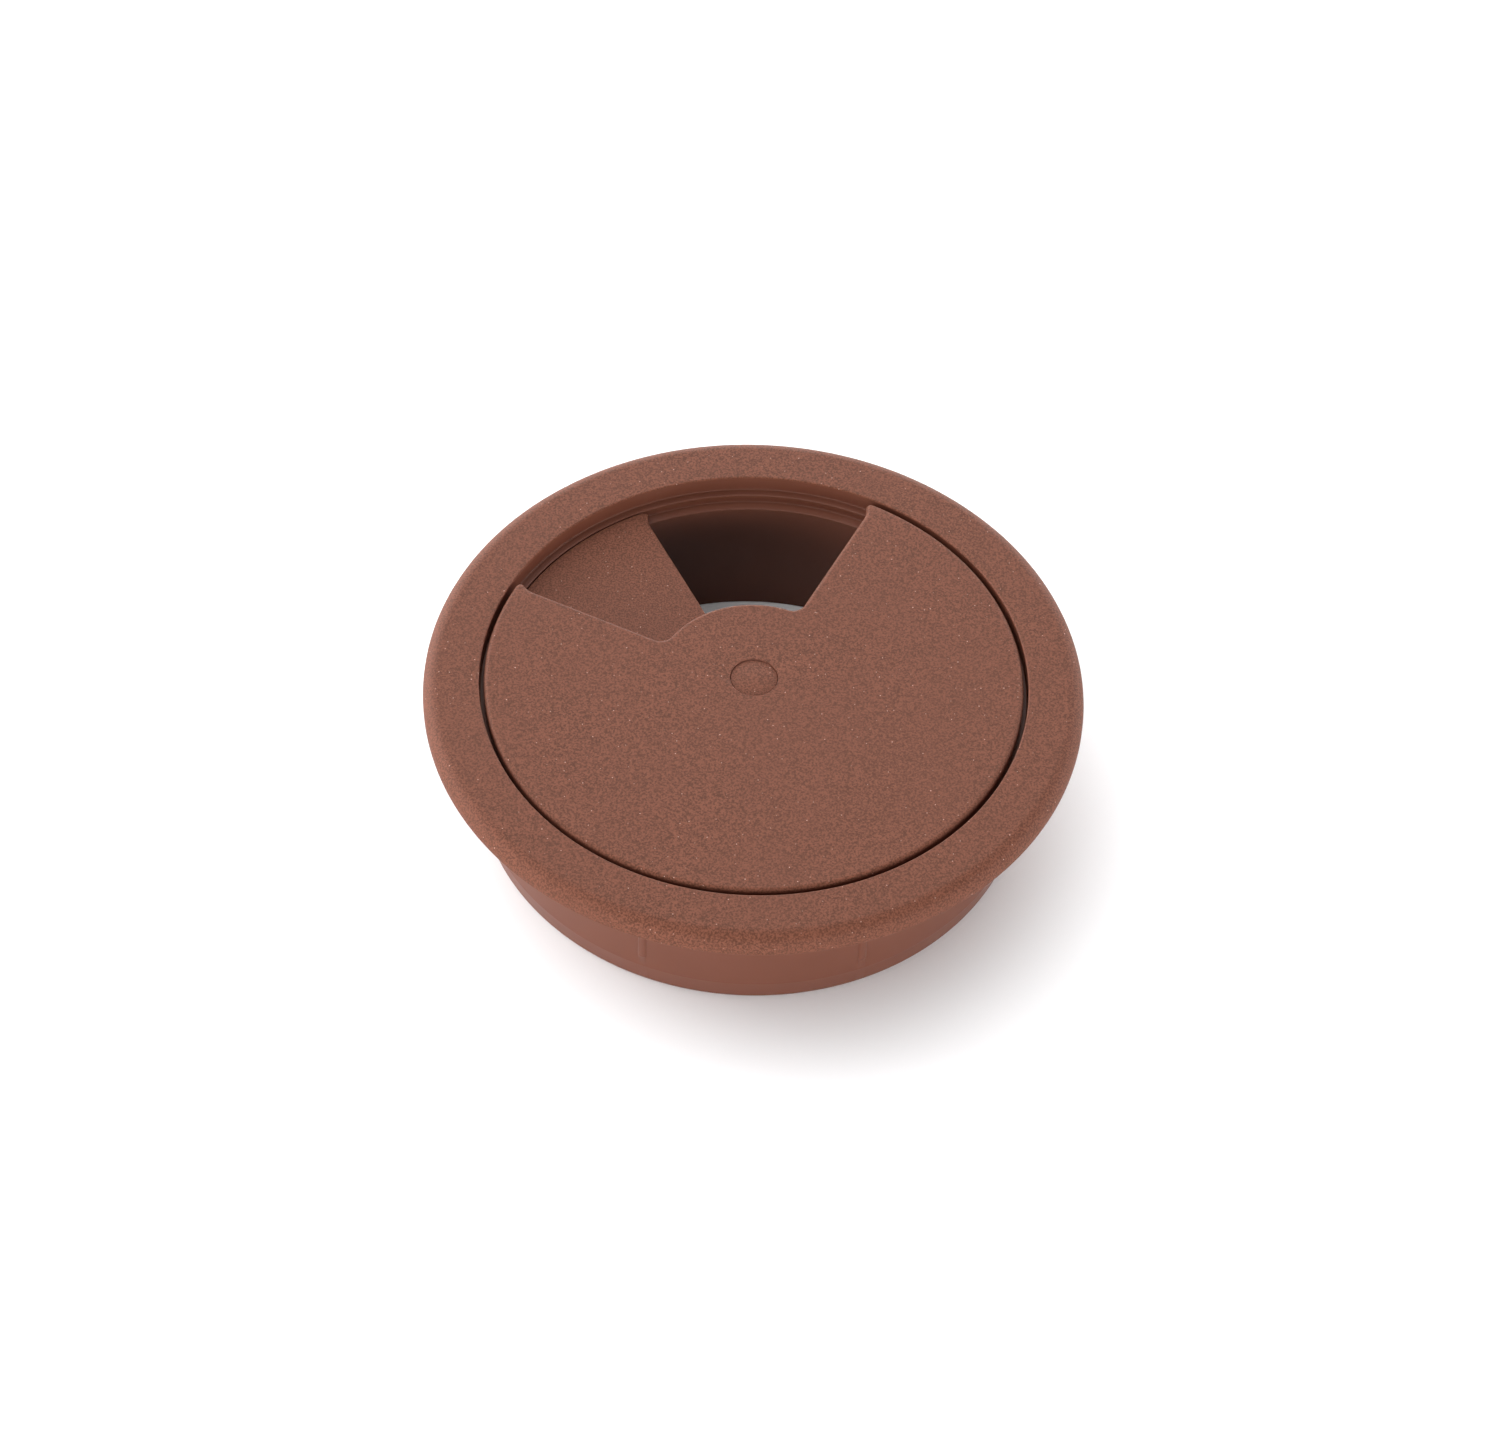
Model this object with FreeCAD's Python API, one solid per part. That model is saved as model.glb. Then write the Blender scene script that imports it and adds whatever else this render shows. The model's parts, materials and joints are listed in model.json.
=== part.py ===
# Desk cable grommet for a round hole: a flanged liner, a cover disc, a shutter disc under it,
# and the push-in pin that both discs turn on.
#
# Millimetres, +Z up. The origin is on the centre line, in the plane of the desk's surface, which
# is the plane of the flange's underside. The cover's notch is on the +Y side.

import FreeCAD, Part
import math
import os

UP = FreeCAD.Vector(0, 0, 1)
CENTRE = FreeCAD.Vector(0, 0, 0)
NEAR = 1e-3                 # two places closer than this are the same
THROUGH = 1.0               # how far a cutting tool runs past the faces it cuts

# ---- driving dimensions -------------------------------------------------------------------

# the desk and the liner that hangs in its hole
HOLE_DIAMETER = 60.0        # the standard hole that the grommet is made for
HOLE_CLEARANCE = 0.2        # skirt to hole, on the radius
FLANGE_LAP = 5.0            # how far the flange reaches over the hole's edge
FLANGE_THICKNESS = 2.3
FLANGE_EDGE_ROUND = 1.7
SKIRT_DEPTH = 14.7          # below the desk's surface
LEAD_IN_HEIGHT = 2.8        # the chamfered foot of the skirt
LEAD_IN_STEP = 0.45
SKIRT_WALL = 2.8
WALL_DRAFT = 1.2            # how much thicker the wall is at its foot
FOOT_ROUND = 0.5

# crush ribs on the skirt
RIB_COUNT = 8
RIB_WIDTH = 0.9
RIB_FIRST_ANGLE = -65.5     # degrees from +X
RIB_LENGTH = 10.3           # as seen on the skirt
RIB_ROOT = 0.6              # how far a rib is let into the wall

# the two seats inside the liner
SEAT_STEP = 0.9             # width of the cover's seat
SEAT_EDGE_ROUND = 0.15
COVER_GAP = 0.5             # round the cover, on the radius
SHUTTER_GAP = 0.12          # round the shutter, on the radius
COVER_LAP = 1.55            # how far the cover reaches past the clear bore
DISC_PLAY = 0.04            # up and down, between stacked pieces

# the discs
COVER_THICKNESS = 1.9
COVER_EDGE_ROUND = 0.5
SHUTTER_THICKNESS = 0.95
SHUTTER_EDGE_ROUND = 0.15
NOTCH_ANGLE = 91.0          # the size of both notches
COVER_NOTCH_FROM = 64.6     # degrees from +X to the notch's first edge
SHUTTER_NOTCH_FROM = 26.8
NOTCH_INNER_RADIUS = 10.5
NOTCH_INNER_ROUND = 1.4
NOTCH_EAR_ROUND = 2.5       # the hollow curve that turns each edge in towards the notch at the rim
NOTCH_EAR_TURN = 60.0       # degrees that the edge has turned at the rim
NOTCH_EAR_TIP_ROUND = 0.52

# the pin
PIN_HEAD_DIAMETER = 5.0
PIN_HEAD_HEIGHT = 0.9
PIN_HEAD_DOME = 0.15
PIN_SHANK_DIAMETER = 3.4
PIN_RUNNING_CLEARANCE = 0.06    # on the radius
PIN_HEAD_CLEARANCE = 0.05       # on the radius
PIN_BARB_STEP = 0.45            # how far the barb stands out past the shank
PIN_BARB_LAND = 0.5
PIN_TIP_HEIGHT = 1.6
PIN_TIP_DIAMETER = 2.4
PIN_SLOT_WIDTH = 0.8

# the boss under the shutter that steadies it on the pin
BOSS_DIAMETER = 8.0
BOSS_HEIGHT = 1.0

# ---- sizes that follow ----------------------------------------------------------------------

skirt_radius = HOLE_DIAMETER / 2 - HOLE_CLEARANCE
flange_radius = HOLE_DIAMETER / 2 + FLANGE_LAP
bore_radius = skirt_radius - SKIRT_WALL
foot_bore_radius = bore_radius - WALL_DRAFT
rib_height = HOLE_CLEARANCE

cover_radius = bore_radius + COVER_LAP
cover_recess_radius = cover_radius + COVER_GAP
cover_seat_radius = cover_recess_radius - SEAT_STEP
shutter_radius = cover_seat_radius - SHUTTER_GAP

cover_top = FLANGE_THICKNESS
cover_bottom = cover_top - COVER_THICKNESS
cover_seat = cover_bottom - DISC_PLAY
shutter_top = cover_bottom - DISC_PLAY
shutter_bottom = shutter_top - SHUTTER_THICKNESS
shutter_seat = shutter_bottom - DISC_PLAY
boss_bottom = shutter_bottom - BOSS_HEIGHT

pin_shank_radius = PIN_SHANK_DIAMETER / 2
pin_hole_radius = pin_shank_radius + PIN_RUNNING_CLEARANCE
pin_head_radius = PIN_HEAD_DIAMETER / 2
pin_head_bottom = cover_top - PIN_HEAD_HEIGHT
pin_pocket_bottom = pin_head_bottom - DISC_PLAY
pin_barb_top = boss_bottom - DISC_PLAY
pin_barb_radius = pin_shank_radius + PIN_BARB_STEP
pin_tip_bottom = pin_barb_top - PIN_BARB_LAND - PIN_TIP_HEIGHT


# ---- helpers --------------------------------------------------------------------------------

def point(x, y, z):
    return FreeCAD.Vector(x, y, z)


def polar(radius, degrees, z):
    angle = math.radians(degrees)
    return point(radius * math.cos(angle), radius * math.sin(angle), z)


def line(a, b):
    return Part.LineSegment(a, b).toShape()


def turned(edges):
    """The solid of revolution of a closed outline drawn in the XZ plane."""
    face = Part.Face(Part.Wire(edges))
    return face.revolve(CENTRE, UP, 360)


def outline(corners):
    """Straight edges through (radius, height) corners, closed."""
    points = [point(radius, 0, z) for radius, z in corners]
    return [line(a, b) for a, b in zip(points, points[1:] + points[:1])]


def cylinder(radius, bottom, top):
    return Part.makeCylinder(radius, top - bottom, point(0, 0, bottom), UP)


def circles_at(shape, radius, z):
    """The edges of a shape that lie on one circle about the centre line."""
    found = []
    for edge in shape.Edges:
        curve = edge.Curve
        if not isinstance(curve, Part.Circle):
            continue
        same_size = abs(curve.Radius - radius) < NEAR
        if same_size and curve.Center.distanceToPoint(point(0, 0, z)) < NEAR:
            found.append(edge)
    return found


def upright_edges_at(shape, radius, degrees):
    """The vertical edges of a disc at a radius and an angle."""
    found = []
    for edge in shape.Edges:
        ends = [vertex.Point for vertex in edge.Vertexes]
        on_the_spot = [end.distanceToPoint(polar(radius, degrees, end.z)) < NEAR for end in ends]
        if len(ends) == 2 and all(on_the_spot):
            found.append(edge)
    return found


def ear_start(radius):
    """How far out along the notch's edge its ear begins."""
    return radius - NOTCH_EAR_ROUND * math.sin(math.radians(NOTCH_EAR_TURN))


def ear_lean(radius):
    """Degrees from the notch's edge to the place where its ear meets the rim."""
    along = ear_start(radius)
    centre_distance = math.hypot(along, NOTCH_EAR_ROUND)
    opposite = radius ** 2 + centre_distance ** 2 - NOTCH_EAR_ROUND ** 2
    swing = math.acos(opposite / (2 * radius * centre_distance))
    return math.degrees(math.atan2(NOTCH_EAR_ROUND, along) - swing)


def ear_points(radius, degrees, side, z):
    """Start, middle and end of an ear's hollow curve, bent by side (+1 or -1) round the centre."""
    points = []
    for turn in (0, 45, 90):
        along = ear_start(radius) + NOTCH_EAR_ROUND * math.sin(math.radians(turn))
        across = NOTCH_EAR_ROUND * (1 - math.cos(math.radians(turn)))
        distance = math.hypot(along, across)
        lean = side * math.degrees(math.atan2(across, along))
        points.append(polar(distance, degrees + lean, z))
    return points


def notch(radius, notch_from, bottom, top):
    """A wedge between two radial edges, from the inner arc out past the rim, with its ears."""
    middle = notch_from + NOTCH_ANGLE / 2
    notch_to = notch_from + NOTCH_ANGLE
    inner = [polar(NOTCH_INNER_RADIUS, angle, bottom) for angle in (notch_from, middle, notch_to)]
    first_ear = ear_points(radius, notch_from, 1, bottom)
    last_ear = ear_points(radius, notch_to, -1, bottom)
    outside = polar(radius + THROUGH + NOTCH_EAR_ROUND, middle, bottom)
    edges = [
        Part.Arc(*inner).toShape(),
        line(inner[2], last_ear[0]),
        Part.Arc(*last_ear).toShape(),
        Part.Arc(last_ear[2], outside, first_ear[2]).toShape(),
        Part.Arc(*reversed(first_ear)).toShape(),
        line(first_ear[0], inner[0]),
    ]
    wedge = Part.Face(Part.Wire(edges)).extrude(point(0, 0, top - bottom))
    corners = upright_edges_at(wedge, NOTCH_INNER_RADIUS, notch_from)
    corners += upright_edges_at(wedge, NOTCH_INNER_RADIUS, notch_to)
    return wedge.makeFillet(NOTCH_INNER_ROUND, corners)


def notched_disc(radius, bottom, top, notch_from):
    """A flat disc with a notch cut into it and the tips of the notch's ears rounded."""
    disc = cylinder(radius, bottom, top)
    disc = disc.cut(notch(radius, notch_from, bottom - THROUGH, top + THROUGH))
    lean = ear_lean(radius)
    tips = upright_edges_at(disc, radius, notch_from + lean)
    tips += upright_edges_at(disc, radius, notch_from + NOTCH_ANGLE - lean)
    return disc.makeFillet(NOTCH_EAR_TIP_ROUND, tips)


def edges_in_plane(shape, z):
    """All the edges that lie in one level plane."""
    found = []
    for edge in shape.Edges:
        box = edge.BoundBox
        if abs(box.ZMin - z) < NEAR and abs(box.ZMax - z) < NEAR:
            found.append(edge)
    return found


# ---- sub-parts ------------------------------------------------------------------------------

def rib(degrees):
    """One crush rib, its face on the hole's own radius and its lower end sloped."""
    crest = skirt_radius + rib_height
    root = skirt_radius - RIB_ROOT
    corners = [
        (root, 0),
        (crest, 0),
        (crest, -RIB_LENGTH + rib_height),
        (root, -RIB_LENGTH - RIB_ROOT),
    ]
    half = RIB_WIDTH / 2
    points = [point(radius, -half, z) for radius, z in corners]
    face = Part.Face(Part.Wire([line(a, b) for a, b in zip(points, points[1:] + points[:1])]))
    bar = face.extrude(point(0, RIB_WIDTH, 0))
    bar.rotate(CENTRE, UP, degrees)
    return bar


def make_liner():
    corners = [
        (flange_radius, 0),
        (flange_radius, FLANGE_THICKNESS),
        (cover_recess_radius, FLANGE_THICKNESS),
        (cover_recess_radius, cover_seat),
        (cover_seat_radius, cover_seat),
        (cover_seat_radius, shutter_seat),
        (bore_radius, shutter_seat),
        (foot_bore_radius, -SKIRT_DEPTH),
        (skirt_radius - LEAD_IN_STEP, -SKIRT_DEPTH),
        (skirt_radius, -SKIRT_DEPTH + LEAD_IN_HEIGHT),
        (skirt_radius, 0),
    ]
    body = turned(outline(corners))
    body = body.makeFillet(FLANGE_EDGE_ROUND, circles_at(body, flange_radius, FLANGE_THICKNESS))
    body = body.makeFillet(FOOT_ROUND, circles_at(body, skirt_radius - LEAD_IN_STEP, -SKIRT_DEPTH))
    seat_edges = circles_at(body, cover_recess_radius, FLANGE_THICKNESS)
    seat_edges += circles_at(body, cover_seat_radius, cover_seat)
    seat_edges += circles_at(body, bore_radius, shutter_seat)
    body = body.makeFillet(SEAT_EDGE_ROUND, seat_edges)
    pitch = 360 / RIB_COUNT
    ribs = [rib(RIB_FIRST_ANGLE + pitch * number) for number in range(RIB_COUNT)]
    return body.fuse(ribs).removeSplitter()


def make_cover_disc():
    disc = notched_disc(cover_radius, cover_bottom, cover_top, COVER_NOTCH_FROM)
    disc = disc.makeFillet(COVER_EDGE_ROUND, edges_in_plane(disc, cover_top))
    pocket_radius = pin_head_radius + PIN_HEAD_CLEARANCE
    pocket = cylinder(pocket_radius, pin_pocket_bottom, cover_top + THROUGH)
    hole = cylinder(pin_hole_radius, cover_bottom - THROUGH, cover_top + THROUGH)
    return disc.cut(pocket).cut(hole)


def make_shutter_disc():
    disc = notched_disc(shutter_radius, shutter_bottom, shutter_top, SHUTTER_NOTCH_FROM)
    disc = disc.makeFillet(SHUTTER_EDGE_ROUND, edges_in_plane(disc, shutter_top))
    boss = cylinder(BOSS_DIAMETER / 2, boss_bottom, shutter_bottom)
    hole = cylinder(pin_hole_radius, boss_bottom - THROUGH, shutter_top + THROUGH)
    return disc.fuse(boss).cut(hole).removeSplitter()


def make_pivot_pin():
    """A domed head, a shank, and a split barb that snaps out under the shutter's boss."""
    rim_top = cover_top - PIN_HEAD_DOME
    crown = point(0, 0, cover_top)
    rim = point(pin_head_radius, 0, rim_top)
    dome_radius = (pin_head_radius ** 2 + PIN_HEAD_DOME ** 2) / (2 * PIN_HEAD_DOME)
    half_angle = math.asin(pin_head_radius / dome_radius) / 2
    shoulder = point(dome_radius * math.sin(half_angle), 0,
                     cover_top - dome_radius * (1 - math.cos(half_angle)))
    barb_bottom = pin_barb_top - PIN_BARB_LAND
    corners = [
        (pin_head_radius, rim_top),
        (pin_head_radius, pin_head_bottom),
        (pin_shank_radius, pin_head_bottom),
        (pin_shank_radius, pin_barb_top),
        (pin_barb_radius, pin_barb_top),
        (pin_barb_radius, barb_bottom),
        (PIN_TIP_DIAMETER / 2, pin_tip_bottom),
        (0, pin_tip_bottom),
    ]
    points = [point(radius, 0, z) for radius, z in corners]
    edges = [line(a, b) for a, b in zip(points, points[1:])]
    edges.append(line(points[-1], crown))
    edges.append(Part.Arc(crown, shoulder, rim).toShape())
    body = turned(edges)
    reach = pin_barb_radius + THROUGH
    slot_bottom = pin_tip_bottom - THROUGH
    slot_corner = point(-reach, -PIN_SLOT_WIDTH / 2, slot_bottom)
    slot = Part.makeBox(2 * reach, PIN_SLOT_WIDTH, shutter_bottom - slot_bottom, slot_corner)
    return body.cut(slot)


# ---- build ------------------------------------------------------------------------------------

NODES = {
    "liner": make_liner,
    "cover_disc": make_cover_disc,
    "shutter_disc": make_shutter_disc,
    "pivot_pin": make_pivot_pin,
}

os.makedirs("parts", exist_ok=True)
for name, make in NODES.items():
    shape = make()
    count = len(shape.Solids)
    print(name, "solids", count, "valid", shape.isValid(), "volume", round(shape.Volume, 2))
    if count == 1:
        shape = shape.Solids[0]
    shape.exportStep("parts/" + name + ".step")
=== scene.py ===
# %% [markdown]
# # A desk cable grommet
# A grommet lines the hole that cables come up through in a desk. This one is four small plastic
# mouldings: a liner whose skirt hangs in the hole, a cover disc that lies flush in the liner's
# flange, a thinner shutter disc under the cover, and a pin that both discs turn on. The scene
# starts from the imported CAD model, because its sizes and joints are settled there, and builds a
# finer mesh and a real finish for each moulding.

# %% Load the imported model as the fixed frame
import json
import math

import bmesh
import bpy
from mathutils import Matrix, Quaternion, Vector


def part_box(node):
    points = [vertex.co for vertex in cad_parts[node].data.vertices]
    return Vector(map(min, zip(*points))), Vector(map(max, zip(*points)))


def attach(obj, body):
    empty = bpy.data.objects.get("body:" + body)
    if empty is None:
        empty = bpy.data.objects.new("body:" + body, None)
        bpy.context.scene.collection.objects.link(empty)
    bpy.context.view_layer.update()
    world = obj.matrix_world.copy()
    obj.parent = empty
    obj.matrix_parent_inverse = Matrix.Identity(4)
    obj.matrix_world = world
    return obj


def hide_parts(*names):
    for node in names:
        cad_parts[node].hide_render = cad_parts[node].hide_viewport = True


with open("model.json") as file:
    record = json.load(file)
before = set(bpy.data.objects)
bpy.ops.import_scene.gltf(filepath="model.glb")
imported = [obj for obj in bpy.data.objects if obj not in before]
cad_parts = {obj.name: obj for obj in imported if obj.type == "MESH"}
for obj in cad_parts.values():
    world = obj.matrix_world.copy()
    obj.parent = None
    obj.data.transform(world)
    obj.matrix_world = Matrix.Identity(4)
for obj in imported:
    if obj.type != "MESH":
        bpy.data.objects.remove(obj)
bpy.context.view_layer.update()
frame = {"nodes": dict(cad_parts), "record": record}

print("nodes", sorted(frame["nodes"]))

# %% [markdown]
# ## Sizes
# Blender works in metres, so a small value called MM turns a size in millimetres into metres. The
# outer sizes of each moulding are read from the frame. The sizes that a box can't tell, such as
# the width of a gap or the angle of a notch, are the designer's own values, written once here.

# %% Read the main sizes from the frame
MM = 0.001

liner_low, liner_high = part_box("liner")
cover_low, cover_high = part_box("cover_disc")
shutter_low, shutter_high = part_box("shutter_disc")
pin_low, pin_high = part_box("pivot_pin")
skirt_mount = frame["record"]["mounts"][0]

flange_radius = liner_high.x
flange_top = liner_high.z
foot = liner_low.z
skirt_radius = skirt_mount["dims"]["r_mm"] * MM
lead_in_top = -skirt_mount["dims"]["length_mm"] * MM
cover_radius = -cover_low.y
cover_top = cover_high.z
cover_bottom = cover_low.z
shutter_radius = -shutter_low.y
shutter_top = shutter_high.z
boss_bottom = shutter_low.z
pin_head_radius = pin_high.x
pin_top = pin_high.z
pin_tip = pin_low.z
print("flange radius", round(flange_radius / MM, 2), "cover", round(cover_radius / MM, 2),
      "shutter", round(shutter_radius / MM, 2), "pin head", round(pin_head_radius / MM, 2))

# %% State the sizes that the boxes can't tell
PLAY = 0.04 * MM            # up and down, between stacked pieces
COVER_GAP = 0.5 * MM
SEAT_STEP = 0.9 * MM
SKIRT_WALL = 2.8 * MM
WALL_DRAFT = 1.2 * MM       # how much the bore's radius shrinks on its way down to the foot
LEAD_IN_STEP = 0.45 * MM
SHUTTER_THICKNESS = 0.95 * MM

recess_radius = cover_radius + COVER_GAP
seat_radius = recess_radius - SEAT_STEP
bore_radius = skirt_radius - SKIRT_WALL
cover_seat = cover_bottom - PLAY
shutter_bottom = shutter_top - SHUTTER_THICKNESS
shutter_seat = shutter_bottom - PLAY
print("seats at", round(cover_seat / MM, 2), "and", round(shutter_seat / MM, 2), "mm")

# %% [markdown]
# ## A rounded profile and a lathe
# Every edge of a moulding has a small radius, because the steel it is moulded in can't be
# perfectly sharp, and that radius is what catches the light. So a turned piece is drawn as an
# outline of corners, each with its own round, and the outline is spun round the centre line. The
# Screw modifier could spin it too, but writing the grid of points lets the ribs on the
# skirt be part of the same closed surface.

# %% Draw an outline with rounded corners
def rounded_outline(corners, steps=6):
    """Points of a closed outline of (radius, height, round) corners."""
    points = []
    for index, (radius, height, round_radius) in enumerate(corners):
        corner = Vector((radius, height))
        if round_radius == 0:
            points.append(corner)
            continue
        before = Vector(corners[index - 1][:2])
        after = Vector(corners[(index + 1) % len(corners)][:2])
        back = (before - corner).normalized()
        ahead = (after - corner).normalized()
        half_angle = back.angle(ahead) / 2
        centre = corner + (back + ahead).normalized() * (round_radius / math.sin(half_angle))
        first = corner + back * (round_radius / math.tan(half_angle)) - centre
        last = corner + ahead * (round_radius / math.tan(half_angle)) - centre
        start = math.atan2(first.y, first.x)
        sweep = (math.atan2(last.y, last.x) - start + math.pi) % math.tau - math.pi
        for step in range(steps + 1):
            angle = start + sweep * step / steps
            points.append(centre + round_radius * Vector((math.cos(angle), math.sin(angle))))
    return points


one_round = rounded_outline([(0, 0, 0), (1, 0, 0), (1, 1, 0.2), (0, 1, 0)])
print("a square with one rounded corner has", len(one_round), "points")

# %% Make an object from a bmesh, and spin an outline into one
MERGE = 1e-8                # points closer than this, in metres, become one


def finish_mesh(name, mesh_builder):
    """Turns a bmesh into a smooth-shaded object and prints its faces and open edges."""
    bmesh.ops.remove_doubles(mesh_builder, verts=mesh_builder.verts, dist=MERGE)
    bmesh.ops.recalc_face_normals(mesh_builder, faces=mesh_builder.faces)
    open_edges = sum(not edge.is_manifold for edge in mesh_builder.edges)
    mesh = bpy.data.meshes.new(name)
    mesh_builder.to_mesh(mesh)
    mesh_builder.free()
    mesh.shade_smooth()
    piece = bpy.data.objects.new(name, mesh)
    bpy.context.scene.collection.objects.link(piece)
    print(name, len(mesh.polygons), "faces,", open_edges, "open edges")
    return piece


def lathe(outline, angles, relief=None):
    """A bmesh of the outline spun through the angles, with an optional relief on its radius."""
    builder = bmesh.new()
    rings = []
    for angle in angles:
        ring = []
        for radius, height in outline:
            if relief:
                radius = relief(radius, height, angle)
            place = (radius * math.cos(angle), radius * math.sin(angle), height)
            ring.append(builder.verts.new(place))
        rings.append(ring)
    for this_ring, next_ring in zip(rings, rings[1:] + rings[:1]):
        for index in range(len(outline)):
            if outline[index - 1][0] == 0 and outline[index][0] == 0:
                continue            # both points lie on the centre line, so there is no face
            corner_a, corner_b = this_ring[index - 1], this_ring[index]
            corner_c, corner_d = next_ring[index], next_ring[index - 1]
            builder.faces.new((corner_a, corner_b, corner_c, corner_d))
    return builder


print("points closer than", MERGE / MM, "mm become one")

# %% [markdown]
# ## The liner
# The liner is one moulding: a flange that laps the edge of the hole, a skirt that hangs in the
# hole, and two stepped seats inside for the discs. Thin crush ribs down the skirt take up the
# slack in a badly drilled hole. The columns of points stand close together across each rib, so its
# half-round shape comes out crisply, and they are evenly spaced on the wall between two ribs.

# %% Spin the liner with its crush ribs
FLANGE_EDGE_ROUND = 1.7 * MM
EDGE = 0.15 * MM            # the round of an ordinary moulded edge
FOOT_ROUND = 0.5 * MM
RIB_COUNT = 8
RIB_WIDTH = 0.9 * MM
RIB_HEIGHT = 0.2 * MM
RIB_LENGTH = 10.3 * MM
RIB_FIRST = math.radians(-65.5)
RIB_SHARES = (-1.2, -1.0, -0.97, -0.8, -0.4, 0.0, 0.4, 0.8, 0.97, 1.0, 1.2)
WALL_COLUMNS = 36           # between one rib and the next


def rib_angles():
    """Angles of the columns of points, close together at each rib."""
    half = RIB_WIDTH / 2 / skirt_radius
    pitch = math.tau / RIB_COUNT
    offsets = [half * share for share in RIB_SHARES]
    first = offsets[-1]
    clear = pitch - 2 * first
    offsets += [first + clear * step / WALL_COLUMNS for step in range(1, WALL_COLUMNS)]
    return [RIB_FIRST + pitch * rib + offset for rib in range(RIB_COUNT) for offset in offsets]


def rib_relief(radius, height, angle):
    """The skirt's radius where a half-round rib stands out of it."""
    pitch = math.tau / RIB_COUNT
    across = abs((angle - RIB_FIRST + pitch / 2) % pitch - pitch / 2) * skirt_radius
    share = across / (RIB_WIDTH / 2)
    on_skirt = abs(radius - skirt_radius) < RIB_HEIGHT and height <= 0
    if not on_skirt or height < -RIB_LENGTH + RIB_HEIGHT / 2 or share >= 1:
        return radius
    return max(radius, skirt_radius + RIB_HEIGHT * math.sqrt(1 - share ** 2))


liner_corners = [
    (skirt_radius, 0, EDGE),
    (flange_radius, 0, EDGE),
    (flange_radius, flange_top, FLANGE_EDGE_ROUND),
    (recess_radius, flange_top, EDGE),
    (recess_radius, cover_seat, EDGE),
    (seat_radius, cover_seat, EDGE),
    (seat_radius, shutter_seat, EDGE),
    (bore_radius, shutter_seat, EDGE),
    (bore_radius - WALL_DRAFT, foot, EDGE),
    (skirt_radius - LEAD_IN_STEP, foot, FOOT_ROUND),
    (skirt_radius, lead_in_top, EDGE),
    (skirt_radius, -RIB_LENGTH, 0),
    (skirt_radius, -RIB_LENGTH + RIB_HEIGHT, 0),
]
liner = finish_mesh("liner_moulding", lathe(rounded_outline(liner_corners), rib_angles(), rib_relief))

# %% [markdown]
# ## The two discs
# The cover and the shutter are flat discs with a wedge cut out, called the notch. Near the rim
# each edge of the notch turns in over it in a hollow curve and ends in a small rounded tip, called
# an ear here. The corners at the middle are rounded too. The outline is only arcs and straight
# lines, so it is worked out exactly, and each point also keeps the direction that faces out of the
# plastic. Moving every point inward along that direction gives a smaller outline of the same kind,
# which is how the rounded rim is made. A Bevel modifier could round the rim too, but it pinches
# where the notch's corners are tight.

# %% State the sizes of the notch
NOTCH_ANGLE = math.radians(91.0)
NOTCH_INNER_RADIUS = 10.5 * MM
NOTCH_INNER_ROUND = 1.4 * MM
EAR_ROUND = 2.5 * MM        # the hollow curve that turns each edge in towards the notch at the rim
EAR_TURN = math.radians(60.0)
EAR_TIP_ROUND = 0.52 * MM   # no less than the rim's top round, or the inset outline crosses itself
print("notch of", round(math.degrees(NOTCH_ANGLE)), "degrees, out from",
      round(NOTCH_INNER_RADIUS / MM, 1), "mm")


# %% Find where an ear's tip lies
def direction(angle):
    return Vector((math.cos(angle), math.sin(angle)))


def ear_tip(radius):
    """Where an ear's rounded tip lies, as angles from the notch's edge: its place and its end."""
    along = radius - EAR_ROUND * math.sin(EAR_TURN)
    hollow_middle = Vector((along, EAR_ROUND))
    reach = radius - EAR_TIP_ROUND
    apart = EAR_ROUND + EAR_TIP_ROUND
    opposite = reach ** 2 + hollow_middle.length_squared - apart ** 2
    swing = math.acos(opposite / (2 * reach * hollow_middle.length))
    lean = math.atan2(EAR_ROUND, along) - swing
    towards_hollow = hollow_middle - reach * direction(lean)
    return along, lean, math.atan2(towards_hollow.y, towards_hollow.x)


print("the cover's ears lean", round(math.degrees(ear_tip(cover_radius)[1]), 2), "degrees")


# %% Join the arcs into the outline of a notched disc
RIM_STEPS = 270             # faces along each arc of the outline
TIP_STEPS = 12
EAR_STEPS = 10
CORNER_STEPS = 12
MIDDLE_STEPS = 48


def arc(centre, radius, start, end, steps):
    """Points of an arc with their outward directions; a negative radius is a hollow corner."""
    angles = [start + (end - start) * step / steps for step in range(steps + 1)]
    return [(centre + radius * direction(angle), direction(angle)) for angle in angles]


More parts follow.
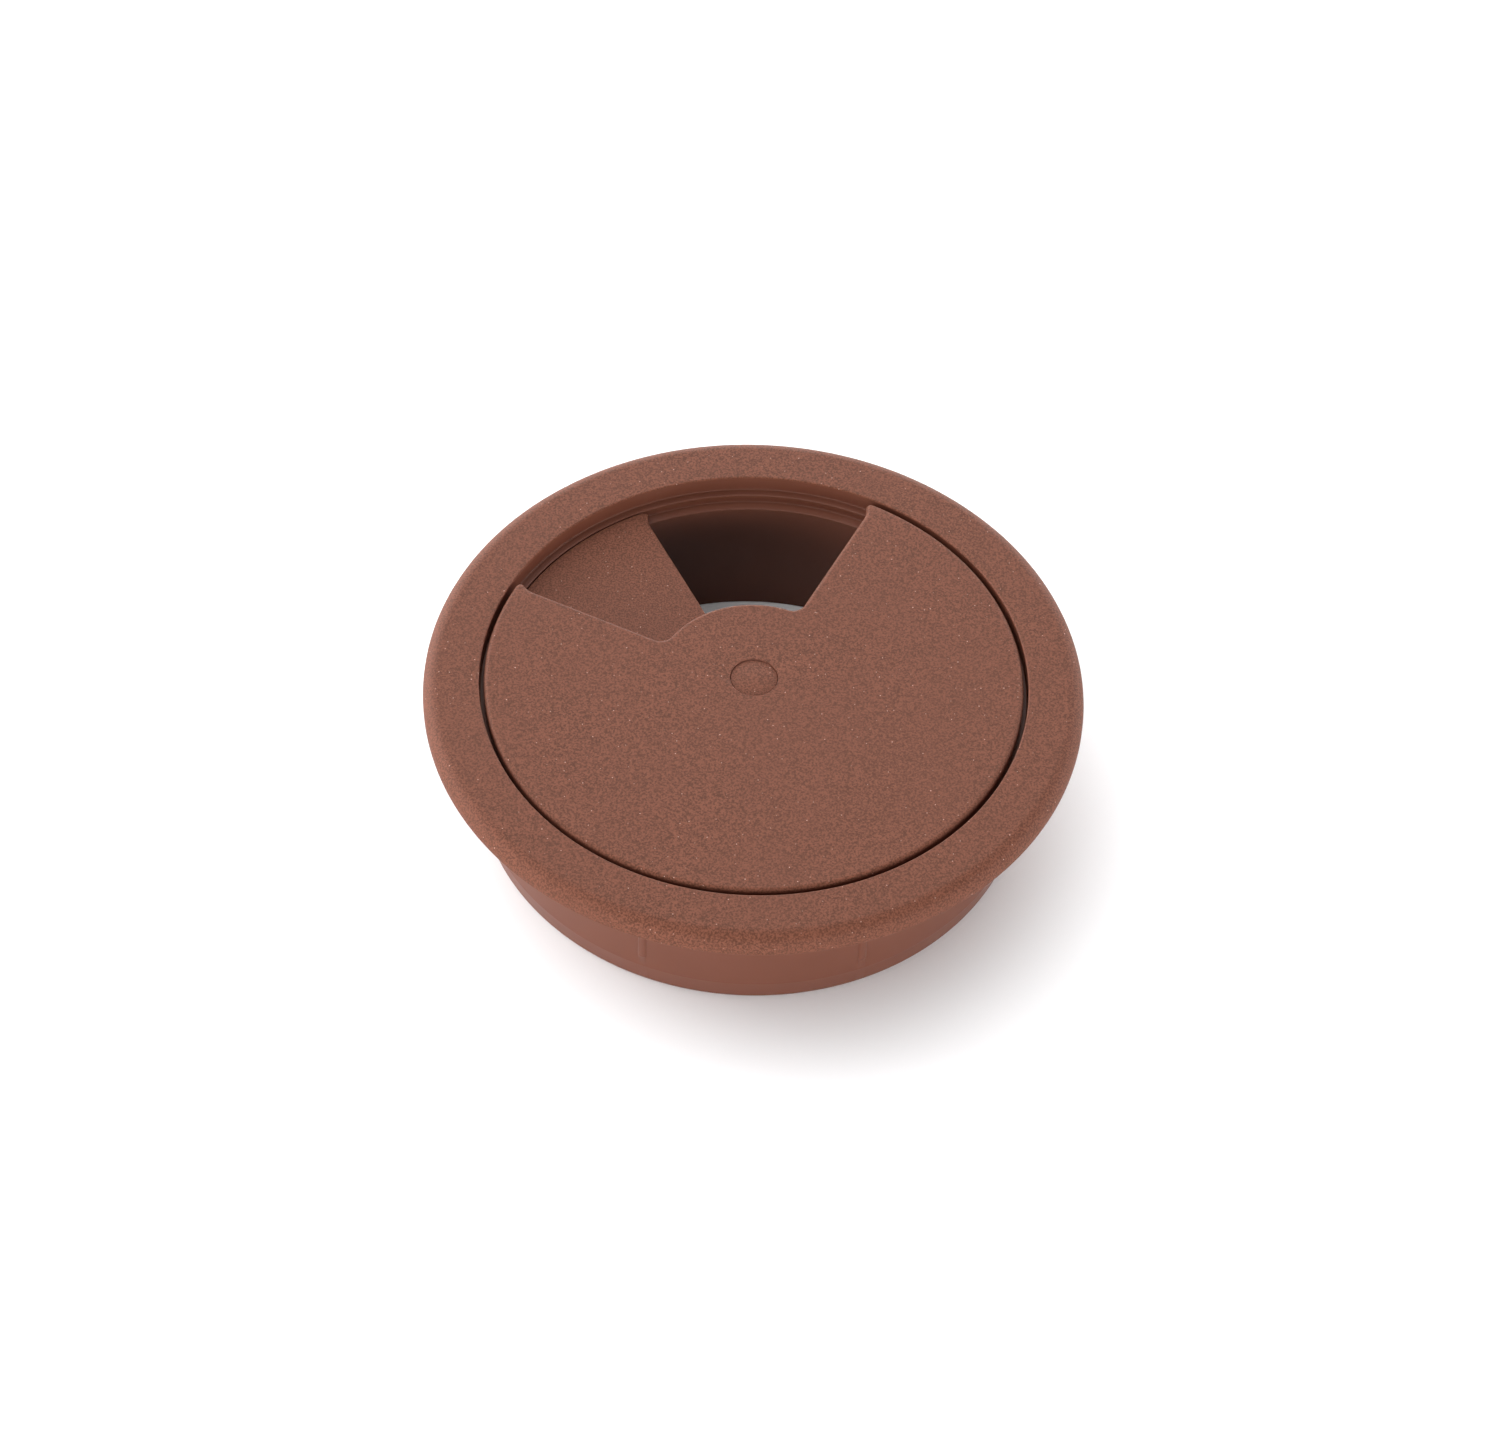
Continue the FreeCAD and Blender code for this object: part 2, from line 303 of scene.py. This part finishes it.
def notched_outline(radius, notch_from):
    """(point, outward direction) pairs round a notched disc, anticlockwise from the notch."""
    notch_to = notch_from + NOTCH_ANGLE
    quarter = math.pi / 2
    along, lean, tip_end = ear_tip(radius)
    hollow_reach = NOTCH_INNER_RADIUS + NOTCH_INNER_ROUND
    hollow_lean = math.asin(NOTCH_INNER_ROUND / hollow_reach)
    centre = Vector((0, 0))
    first, last = notch_from + lean, notch_to - lean
    tip_first = direction(first) * (radius - EAR_TIP_ROUND)
    tip_last = direction(last) * (radius - EAR_TIP_ROUND)
    ear_first = direction(notch_from) * along + direction(notch_from + quarter) * EAR_ROUND
    ear_last = direction(notch_to) * along + direction(notch_to - quarter) * EAR_ROUND
    inner_first = direction(notch_from + hollow_lean) * hollow_reach
    inner_last = direction(notch_to - hollow_lean) * hollow_reach
    pairs = arc(centre, radius, last, first + math.tau, RIM_STEPS)
    pairs += arc(tip_first, EAR_TIP_ROUND, first, notch_from + tip_end, TIP_STEPS)
    pairs += arc(ear_first, -EAR_ROUND, notch_from + tip_end, notch_from + quarter, EAR_STEPS)
    pairs += arc(inner_first, -NOTCH_INNER_ROUND, notch_from + quarter, notch_from + hollow_lean,
                 CORNER_STEPS)
    pairs += arc(centre, NOTCH_INNER_RADIUS, notch_from + hollow_lean, notch_to - hollow_lean,
                 MIDDLE_STEPS)
    pairs += arc(inner_last, -NOTCH_INNER_ROUND, notch_to - hollow_lean, notch_to - quarter,
                 CORNER_STEPS)
    pairs += arc(ear_last, -EAR_ROUND, notch_to - quarter, notch_to - tip_end, EAR_STEPS)
    pairs += arc(tip_last, EAR_TIP_ROUND, notch_to - tip_end, last, TIP_STEPS)
    joined = []
    for place, outward in pairs:
        if not joined or (place - joined[-1][0]).length > MERGE:
            joined.append((place, outward))
    if (joined[0][0] - joined[-1][0]).length < MERGE:
        joined.pop()
    return joined


print("the cover's outline has", len(notched_outline(cover_radius, 0)), "points")

# %% Build a disc from its rim rings and its centre rings
CENTRE_STEPS = 96


def ring_of(builder, places, height):
    return [builder.verts.new((x, y, height)) for x, y in places]


def bridge(builder, rings):
    """Quads between rings that have the same number of points."""
    for upper, lower in zip(rings, rings[1:]):
        for index in range(len(upper)):
            builder.faces.new((upper[index - 1], upper[index], lower[index], lower[index - 1]))


def fill_between(builder, outer, inner):
    """A flat face, as triangles, between an outer ring and a hole in it."""
    edges = []
    for ring in (outer, inner):
        for index in range(len(ring)):
            edges.append(builder.edges.get((ring[index - 1], ring[index])))
    bmesh.ops.triangle_fill(builder, edges=edges, use_beauty=True, use_dissolve=False)


def notched_disc(name, outline, rim, centre_rings):
    """rim is (inset, height) from top to bottom, centre_rings (radius, height) from bottom to top."""
    builder = bmesh.new()
    outer = []
    for inset, height in rim:
        places = [place - inset * outward for place, outward in outline]
        outer.append(ring_of(builder, places, height))
    inner = []
    for radius, height in centre_rings:
        turn = math.tau / CENTRE_STEPS
        places = [radius * direction(turn * step) for step in range(CENTRE_STEPS)]
        inner.append(ring_of(builder, places, height))
    bridge(builder, outer)
    bridge(builder, inner)
    fill_between(builder, outer[-1], inner[0])
    fill_between(builder, outer[0], inner[-1])
    return finish_mesh(name, builder)


def rim_profile(top, bottom, top_round, bottom_round, steps=6):
    """Insets and heights of a rim with a rounded top edge and a rounded bottom edge."""
    turns = [math.pi / 2 * step / steps for step in range(steps + 1)]
    upper = [(top_round * (1 - math.sin(t)), top - top_round * (1 - math.cos(t))) for t in turns]
    lower = [(bottom_round * (1 - math.cos(t)), bottom + bottom_round * (1 - math.sin(t)))
             for t in turns]
    return upper + lower


print("a centre ring has", CENTRE_STEPS, "faces")

# %% [markdown]
# ## The cover disc
# The cover is the thick disc that a hand turns. Its top edge is well rounded, and a shallow pocket
# in its middle takes the head of the pin, so the head lies flush.

# %% Build the cover disc
COVER_NOTCH_FROM = math.radians(64.6)
COVER_EDGE_ROUND = 0.5 * MM
PIN_HEAD_CLEARANCE = 0.05 * MM
POCKET_EDGE = 0.05 * MM
PIN_HEAD_HEIGHT = 0.9 * MM
PIN_HOLE_RADIUS = 1.76 * MM

pocket_radius = pin_head_radius + PIN_HEAD_CLEARANCE
pocket_bottom = cover_top - PIN_HEAD_HEIGHT - PLAY
cover_centre = [
    (PIN_HOLE_RADIUS + EDGE, cover_bottom),
    (PIN_HOLE_RADIUS, cover_bottom + EDGE),
    (PIN_HOLE_RADIUS, pocket_bottom - EDGE),
    (PIN_HOLE_RADIUS + EDGE, pocket_bottom),
    (pocket_radius, pocket_bottom),
    (pocket_radius, cover_top - POCKET_EDGE),
    (pocket_radius + POCKET_EDGE, cover_top),
]
cover = notched_disc(
    "cover_disc_moulding",
    notched_outline(cover_radius, COVER_NOTCH_FROM),
    rim_profile(cover_top, cover_bottom, COVER_EDGE_ROUND, EDGE),
    cover_centre)

# %% [markdown]
# ## The shutter disc
# The shutter lies under the cover and closes the window when it is turned. It is half as thick,
# and a round boss on its underside steadies it on the pin.

# %% Build the shutter disc
SHUTTER_NOTCH_FROM = math.radians(26.8)
SHUTTER_EDGE_ROUND = 0.15 * MM
BOSS_RADIUS = 4.0 * MM

shutter_centre = [
    (BOSS_RADIUS + EDGE, shutter_bottom),
    (BOSS_RADIUS, shutter_bottom - EDGE),
    (BOSS_RADIUS, boss_bottom + EDGE),
    (BOSS_RADIUS - EDGE, boss_bottom),
    (PIN_HOLE_RADIUS + EDGE, boss_bottom),
    (PIN_HOLE_RADIUS, boss_bottom + EDGE),
    (PIN_HOLE_RADIUS, shutter_top - EDGE),
    (PIN_HOLE_RADIUS + EDGE, shutter_top),
]
shutter = notched_disc(
    "shutter_disc_moulding",
    notched_outline(shutter_radius, SHUTTER_NOTCH_FROM),
    rim_profile(shutter_top, shutter_bottom, SHUTTER_EDGE_ROUND, EDGE),
    shutter_centre)

# %% [markdown]
# ## The pin
# The pin is pushed in from above. Its domed head lies in the cover's pocket, and its split end
# springs out under the shutter's boss. It is spun from half an outline, and a Boolean modifier
# cuts the slot, because a slot isn't round and can't come off the lathe.

# %% Spin the pin and cut its slot
PIN_HEAD_DOME = 0.15 * MM
PIN_SHANK_RADIUS = 1.7 * MM
PIN_BARB_RADIUS = 2.15 * MM
PIN_BARB_LAND = 0.5 * MM
PIN_TIP_RADIUS = 1.2 * MM
PIN_SLOT_WIDTH = 0.8 * MM
PIN_EDGE = 0.06 * MM
DOME_STEPS = 8


def dome_point(share):
    """A place on the head's dome, from the rim (0) to the crown (1)."""
    radius = pin_head_radius * (1 - share)
    fall = PIN_HEAD_DOME * (radius / pin_head_radius) ** 2
    return radius, pin_top - fall


barb_top = boss_bottom - PLAY
pin_corners = [
    (0, pin_tip, 0),
    (PIN_TIP_RADIUS, pin_tip, PIN_EDGE),
    (PIN_BARB_RADIUS, barb_top - PIN_BARB_LAND, PIN_EDGE),
    (PIN_BARB_RADIUS, barb_top, PIN_EDGE),
    (PIN_SHANK_RADIUS, barb_top, PIN_EDGE),
    (PIN_SHANK_RADIUS, pin_top - PIN_HEAD_HEIGHT, PIN_EDGE),
    (pin_head_radius, pin_top - PIN_HEAD_HEIGHT, PIN_EDGE),
    (pin_head_radius, dome_point(0)[1], PIN_EDGE),
]
pin_corners += [(*dome_point(step / DOME_STEPS), 0) for step in range(1, DOME_STEPS + 1)]
pin_angles = [math.tau * step / CENTRE_STEPS for step in range(CENTRE_STEPS)]
pin = finish_mesh("pivot_pin_moulding", lathe(rounded_outline(pin_corners), pin_angles))

# The cutter is centred on the pin's tip, so its upper half reaches up to the top of the slot.
slot_builder = bmesh.new()
bmesh.ops.create_cube(slot_builder, size=1)
slot_top = shutter_bottom
slot_size = Vector((4 * PIN_BARB_RADIUS, PIN_SLOT_WIDTH, 2 * (slot_top - pin_tip)))
bmesh.ops.scale(slot_builder, vec=slot_size, verts=slot_builder.verts)
bmesh.ops.translate(slot_builder, vec=(0, 0, pin_tip), verts=slot_builder.verts)
slot_cutter = finish_mesh("slot_cutter", slot_builder)
cut = pin.modifiers.new("slot", "BOOLEAN")
cut.operation = "DIFFERENCE"
cut.object = slot_cutter
cut.solver = "EXACT"
depsgraph = bpy.context.evaluated_depsgraph_get()
pin_mesh = bpy.data.meshes.new_from_object(pin.evaluated_get(depsgraph))
pin.modifiers.clear()
pin.data = pin_mesh
bpy.data.objects.remove(slot_cutter)
print("pin with slot", len(pin_mesh.polygons), "faces")

# %% [markdown]
# ## Even shading
# A smooth-shaded mesh blends the direction of each point's faces, which would bend the light on
# the flat tops next to a rounded edge. The Weighted Normal modifier lets the large faces win, so a
# flat top stays flat and only the small rounds curve.

# %% Weight the normals by face area
pieces = {                  # the CAD node: (its piece, the body that carries it)
    "liner": (liner, "liner"),
    "cover_disc": (cover, "cover"),
    "shutter_disc": (shutter, "shutter"),
    "pivot_pin": (pin, "pivot"),
}
for piece, _ in pieces.values():
    weighted = piece.modifiers.new("weighted normals", "WEIGHTED_NORMAL")
    weighted.weight = 100
    weighted.keep_sharp = True
    print(piece.name, "has", [modifier.name for modifier in piece.modifiers])

# %% [markdown]
# ## The plastic
# All four mouldings are ABS, dyed brown in the mass. What differs is the steel that they were
# moulded against. The faces that show on the desk come from a spark-eroded tool, which leaves a
# fine even grain of tiny craters, so they look dry and soft. The skirt and the inner walls come
# from a plainly polished tool and have a faint satin shine. Both are made with one shader each and
# noise patterns in real sizes, with no pictures.

# %% Colour and node helpers
def linear(hex_colour):
    """An sRGB hex colour as linear red, green, blue and alpha."""
    parts = [int(hex_colour[start:start + 2], 16) / 255 for start in (0, 2, 4)]
    turned = [p / 12.92 if p <= 0.04045 else ((p + 0.055) / 1.055) ** 2.4 for p in parts]
    return (*turned, 1.0)


def add_node(tree, kind, settings=None, inputs=None, links=None):
    """Adds a node, sets its properties and inputs, and links other nodes' outputs to it."""
    node = tree.nodes.new(kind)
    for name, value in (settings or {}).items():
        setattr(node, name, value)
    for name, value in (inputs or {}).items():
        node.inputs[name].default_value = value
    for name, source in (links or {}).items():
        tree.links.new(source, node.inputs[name])
    return node


def per_metre(size_mm):
    """The scale of a texture whose pattern repeats about every size_mm."""
    return 1 / (size_mm * MM)


def new_material(name):
    material = bpy.data.materials.new(name)
    material.use_nodes = True
    material.node_tree.nodes.clear()
    return material


print("middle grey in linear light", round(linear("808080")[0], 3))

# %% [markdown]
# ### Spark-eroded ABS
# The craters of such a tool are about 0.1 mm apart, which is too fine to show well in a render, so
# they are drawn 0.2 mm apart. They show as a fine light and dark mottle, with a few tiny bright
# specks where a crater's rim catches the light. A broad, very faint unevenness comes from the way
# that the melt flowed.
#
# The Principled shader works out how strongly a surface mirrors from its IOR. Specular IOR Level
# scales that: 0.5 leaves it as it is, and less weakens it. It is lower here, because the walls of
# the craters shade each other, which neither the roughness nor the bump takes into account.

# %% Spark-eroded ABS
ABS_BROWN = linear("5D3628")
ABS_BROWN_DARK = linear("482819")
ABS_BROWN_LIGHT = linear("6E4131")
ABS_SPECK = linear("C9A091")
ABS_IOR = 1.53
GRAINED_SPECULAR = 0.16
GRAIN_MM = 0.20
FLOW_MM = 14.0
SPECK_MM = 0.9


def spark_eroded_abs():
    material = new_material("abs_brown_spark_eroded")
    tree = material.node_tree
    place = add_node(tree, "ShaderNodeTexCoord").outputs["Object"]
    grain = add_node(
        tree, "ShaderNodeTexNoise", {}, {"Scale": per_metre(GRAIN_MM), "Detail": 3.0, "Roughness": 0.6},
        {"Vector": place}).outputs["Fac"]
    flow = add_node(
        tree, "ShaderNodeTexNoise", {}, {"Scale": per_metre(FLOW_MM), "Detail": 2.0},
        {"Vector": place}).outputs["Fac"]
    mottle = add_node(
        tree, "ShaderNodeMapRange", {},
        {"From Min": 0.40, "From Max": 0.60, "To Min": 0.0, "To Max": 1.0},
        {"Value": grain}).outputs["Result"]
    base = add_node(
        tree, "ShaderNodeMix", {"data_type": "RGBA"}, {"A": ABS_BROWN_DARK, "B": ABS_BROWN_LIGHT},
        {"Factor": mottle}).outputs["Result"]
    evened = add_node(
        tree, "ShaderNodeMapRange", {},
        {"From Min": 0.3, "From Max": 0.7, "To Min": 0.0, "To Max": 0.3},
        {"Value": flow}).outputs["Result"]
    flowed = add_node(
        tree, "ShaderNodeMix", {"data_type": "RGBA"}, {"B": ABS_BROWN},
        {"A": base, "Factor": evened}).outputs["Result"]
    speck_cell = add_node(
        tree, "ShaderNodeTexVoronoi", {"feature": "F1"},
        {"Scale": per_metre(SPECK_MM), "Randomness": 1.0}, {"Vector": place})
    speck = add_node(
        tree, "ShaderNodeMapRange", {"clamp": True},
        {"From Min": 0.08, "From Max": 0.05, "To Min": 0.0, "To Max": 1.0},
        {"Value": speck_cell.outputs["Distance"]}).outputs["Result"]
    uneven_speck = add_node(
        tree, "ShaderNodeMath", {"operation": "MULTIPLY"}, {},
        {0: speck, 1: speck_cell.outputs["Color"]}).outputs["Value"]
    coloured = add_node(
        tree, "ShaderNodeMix", {"data_type": "RGBA"}, {"B": ABS_SPECK},
        {"A": flowed, "Factor": uneven_speck}).outputs["Result"]
    roughness = add_node(
        tree, "ShaderNodeMapRange", {},
        {"From Min": 0.3, "From Max": 0.7, "To Min": 0.62, "To Max": 0.72},
        {"Value": grain}).outputs["Result"]
    bump = add_node(
        tree, "ShaderNodeBump", {}, {"Strength": 0.6, "Distance": 0.03 * MM},
        {"Height": grain}).outputs["Normal"]
    shader = add_node(
        tree, "ShaderNodeBsdfPrincipled", {},
        {"IOR": ABS_IOR, "Specular IOR Level": GRAINED_SPECULAR},
        {"Base Color": coloured, "Roughness": roughness, "Normal": bump})
    add_node(tree, "ShaderNodeOutputMaterial", {}, {}, {"Surface": shader.outputs["BSDF"]})
    return material


grained_abs = spark_eroded_abs()
print(grained_abs.name, len(grained_abs.node_tree.nodes), "nodes")

# %% [markdown]
# ### Tool-polished ABS
# The polishing of the tool leaves very fine lines that can't be seen one by one. They make the
# shine soft and slightly uneven, so the roughness changes a little from place to place. Specular
# IOR Level is low here too: at 0.5 the bright wall round the table would lie over the skirt as a
# pale haze and hide the brown.

# %% Tool-polished ABS
SATIN_BROWN = linear("61382A")
SATIN_BROWN_DARK = linear("5A3325")
SATIN_FINE_MM = 0.5
SATIN_BROAD_MM = 6.0
SATIN_SPECULAR = 0.2


def tool_polished_abs():
    material = new_material("abs_brown_tool_polished")
    tree = material.node_tree
    place = add_node(tree, "ShaderNodeTexCoord").outputs["Object"]
    fine = add_node(
        tree, "ShaderNodeTexNoise", {}, {"Scale": per_metre(SATIN_FINE_MM), "Detail": 2.0},
        {"Vector": place}).outputs["Fac"]
    broad = add_node(
        tree, "ShaderNodeTexNoise", {}, {"Scale": per_metre(SATIN_BROAD_MM), "Detail": 2.0},
        {"Vector": place}).outputs["Fac"]
    coloured = add_node(
        tree, "ShaderNodeMix", {"data_type": "RGBA"}, {"A": SATIN_BROWN_DARK, "B": SATIN_BROWN},
        {"Factor": broad}).outputs["Result"]
    roughness = add_node(
        tree, "ShaderNodeMapRange", {},
        {"From Min": 0.3, "From Max": 0.7, "To Min": 0.36, "To Max": 0.44},
        {"Value": broad}).outputs["Result"]
    bump = add_node(
        tree, "ShaderNodeBump", {}, {"Strength": 0.1, "Distance": 0.01 * MM},
        {"Height": fine}).outputs["Normal"]
    shader = add_node(
        tree, "ShaderNodeBsdfPrincipled", {},
        {"IOR": ABS_IOR, "Specular IOR Level": SATIN_SPECULAR},
        {"Base Color": coloured, "Roughness": roughness, "Normal": bump})
    add_node(tree, "ShaderNodeOutputMaterial", {}, {}, {"Surface": shader.outputs["BSDF"]})
    return material


satin_abs = tool_polished_abs()
print(satin_abs.name, len(satin_abs.node_tree.nodes), "nodes")

# %% [markdown]
# ## Which face gets which finish
# The grain is cut into the tool only where the moulding shows above the desk: the top of the
# flange out to its edge, the tops of the discs and the head of the pin. A face is told by where
# it is and which way it looks.

# %% Put the two finishes on the faces
LOOKS_UP = 0.2              # a face looks up if its direction climbs more than this


def is_grained(node, face):
    """True if the face lies on the part of the moulding that shows above the desk."""
    out = math.hypot(face.center.x, face.center.y)
    if node == "liner":
        return face.center.z > 0 and out > recess_radius
    return face.normal.z > LOOKS_UP and face.center.z > shutter_bottom


for node, (piece, _) in pieces.items():
    piece.data.materials.clear()
    piece.data.materials.append(grained_abs)
    piece.data.materials.append(satin_abs)
    for face in piece.data.polygons:
        face.material_index = 0 if is_grained(node, face) else 1
    grained = sum(face.material_index == 0 for face in piece.data.polygons)
    print(piece.name, "grained faces", grained, "of", len(piece.data.polygons))

# %% [markdown]
# ## Riding on the bodies
# Each moulding moves with the CAD body that it belongs to and stands for its CAD node, so the
# window opens and the lid lifts in Blender just as they do in the simulation.

# %% Ride on the bodies and replace the CAD nodes
for node, (piece, body) in pieces.items():
    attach(piece, body)
    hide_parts(node)
    print(piece.name, "rides on", body, "and stands for", node)

# %% [markdown]
# ## The table
# The grommet stands on a large sheet of matte white card. The sheet is in the render but isn't
# part of the object.

# %% Lay the table
TABLE_SIZE = 4.0
CARD_WHITE = linear("F4F4F5")
CARD_SPECULAR = 0.2

table_mesh = bpy.data.meshes.new("table")
half_table = TABLE_SIZE / 2
table_corners = [(x, y, foot) for x, y in
                 ((-half_table, -half_table), (half_table, -half_table),
                  (half_table, half_table), (-half_table, half_table))]
table_mesh.from_pydata(table_corners, [], [(0, 1, 2, 3)])
table = bpy.data.objects.new("table", table_mesh)
bpy.context.scene.collection.objects.link(table)
card = new_material("white_card_matte")
card_shader = add_node(
    card.node_tree, "ShaderNodeBsdfPrincipled", {},
    {"Base Color": CARD_WHITE, "Roughness": 0.9, "Specular IOR Level": CARD_SPECULAR})
add_node(card.node_tree, "ShaderNodeOutputMaterial", {}, {}, {"Surface": card_shader.outputs["BSDF"]})
table.data.materials.append(card)
print("table at", round(foot / MM, 2), "mm")

# %% [markdown]
# ## The light
# The world's shader draws a light tent. A bright low wall runs all round it and fades out above,
# which keeps the shadow to a soft darkening close to the foot and leaves the inside of the liner
# dark. Over that wall a tall panel, behind the grommet and to its left, is bright, and what is
# opposite the panel is dim. One soft box on the left adds a light with a clearer direction.

# %% Draw the light tent
LOW_LIGHT = 7.5             # strength of the low white wall that runs all round
LOW_FROM, LOW_TO = 0.05, 0.45       # sine of the height over which the low wall fades out
PANEL_LIGHT = 2.5           # strength of the tall bright panel
ROOM_LIGHT = 0.12           # strength of what is opposite the panel
PANEL_TOWARDS = (-0.45, 0.55, 0.35)
PANEL_FROM, PANEL_TO = -0.2, 1.0    # how nearly a direction must face the panel to see it

world = bpy.data.worlds.new("light_tent")
bpy.context.scene.world = world
world.use_nodes = True
sky = world.node_tree
sky.nodes.clear()
towards = add_node(sky, "ShaderNodeTexCoord").outputs["Generated"]
height = add_node(sky, "ShaderNodeSeparateXYZ", {}, {}, {"Vector": towards}).outputs["Z"]
low_wall = add_node(
    sky, "ShaderNodeMapRange", {"interpolation_type": "SMOOTHSTEP"},
    {"From Min": LOW_FROM, "From Max": LOW_TO, "To Min": LOW_LIGHT, "To Max": 0.0},
    {"Value": height}).outputs["Result"]
facing = add_node(sky, "ShaderNodeVectorMath", {"operation": "DOT_PRODUCT"}, {}, {0: towards})
facing.inputs[1].default_value = Vector(PANEL_TOWARDS).normalized()
panel = add_node(
    sky, "ShaderNodeMapRange", {"interpolation_type": "SMOOTHSTEP"},
    {"From Min": PANEL_FROM, "From Max": PANEL_TO, "To Min": ROOM_LIGHT, "To Max": PANEL_LIGHT},
    {"Value": facing.outputs["Value"]}).outputs["Result"]
strength = add_node(
    sky, "ShaderNodeMath", {"operation": "ADD"}, {}, {0: low_wall, 1: panel}).outputs["Value"]
tent = add_node(
    sky, "ShaderNodeBackground", {}, {"Color": (1.0, 1.0, 1.0, 1.0)}, {"Strength": strength})
add_node(sky, "ShaderNodeOutputWorld", {}, {}, {"Surface": tent.outputs["Background"]})
print("light tent of", len(sky.nodes), "nodes")

# %% Add the soft box
SOFT_BOX_PLACE = (-0.7, 0.25, 0.45)
SOFT_BOX_SIZE = 0.5
SOFT_BOX_WATTS = 2.5


def area_light(name, place, size, power):
    """A square soft box at a place, turned towards the grommet."""
    light = bpy.data.lights.new(name, "AREA")
    light.shape = "SQUARE"
    light.size = size
    light.energy = power
    lamp = bpy.data.objects.new(name, light)
    bpy.context.scene.collection.objects.link(lamp)
    lamp.location = place
    lamp.rotation_mode = "QUATERNION"
    lamp.rotation_quaternion = (-Vector(place)).to_track_quat("-Z", "Y")
    return lamp


soft_box = area_light("soft_box_left", SOFT_BOX_PLACE, SOFT_BOX_SIZE, SOFT_BOX_WATTS)
print(soft_box.name, "of", SOFT_BOX_WATTS, "watts")

# %% [markdown]
# ## The camera
# A long lens close to the object keeps its circles nearly true while the far side still looks a
# little smaller than the near side. The camera's place is worked out from the middle of the
# flange's top, so it follows the object if that changes height.

# %% Set the camera
LENS_MM = 100.0
SENSOR_MM = 36.0
CAMERA_DISTANCE = 440.4 * MM        # from the middle of the flange's top
CAMERA_ELEVATION = math.radians(49.3)
CAMERA_ROLL = math.radians(2.3)
AIM_DROP = 7.8 * MM                 # the camera looks a little below the flange's top
AIM_SIDE = -0.24 * MM

top_centre = Vector((0, 0, flange_top))
back = Vector((0, -math.cos(CAMERA_ELEVATION), math.sin(CAMERA_ELEVATION)))
camera_data = bpy.data.cameras.new("camera")
camera_data.lens = LENS_MM
camera_data.sensor_width = SENSOR_MM
camera_data.clip_start = 0.01
camera_data.clip_end = 20.0
camera = bpy.data.objects.new("camera", camera_data)
bpy.context.scene.collection.objects.link(camera)
camera.location = top_centre + back * CAMERA_DISTANCE
aim = top_centre + Vector((AIM_SIDE, 0, -AIM_DROP))
camera.rotation_mode = "QUATERNION"
look = (aim - camera.location).to_track_quat("-Z", "Y")
camera.rotation_quaternion = look @ Quaternion((0, 0, 1), CAMERA_ROLL)
bpy.context.scene.camera = camera
bpy.context.scene.view_settings.view_transform = "Standard"
print("camera at", [round(v, 4) for v in camera.location])
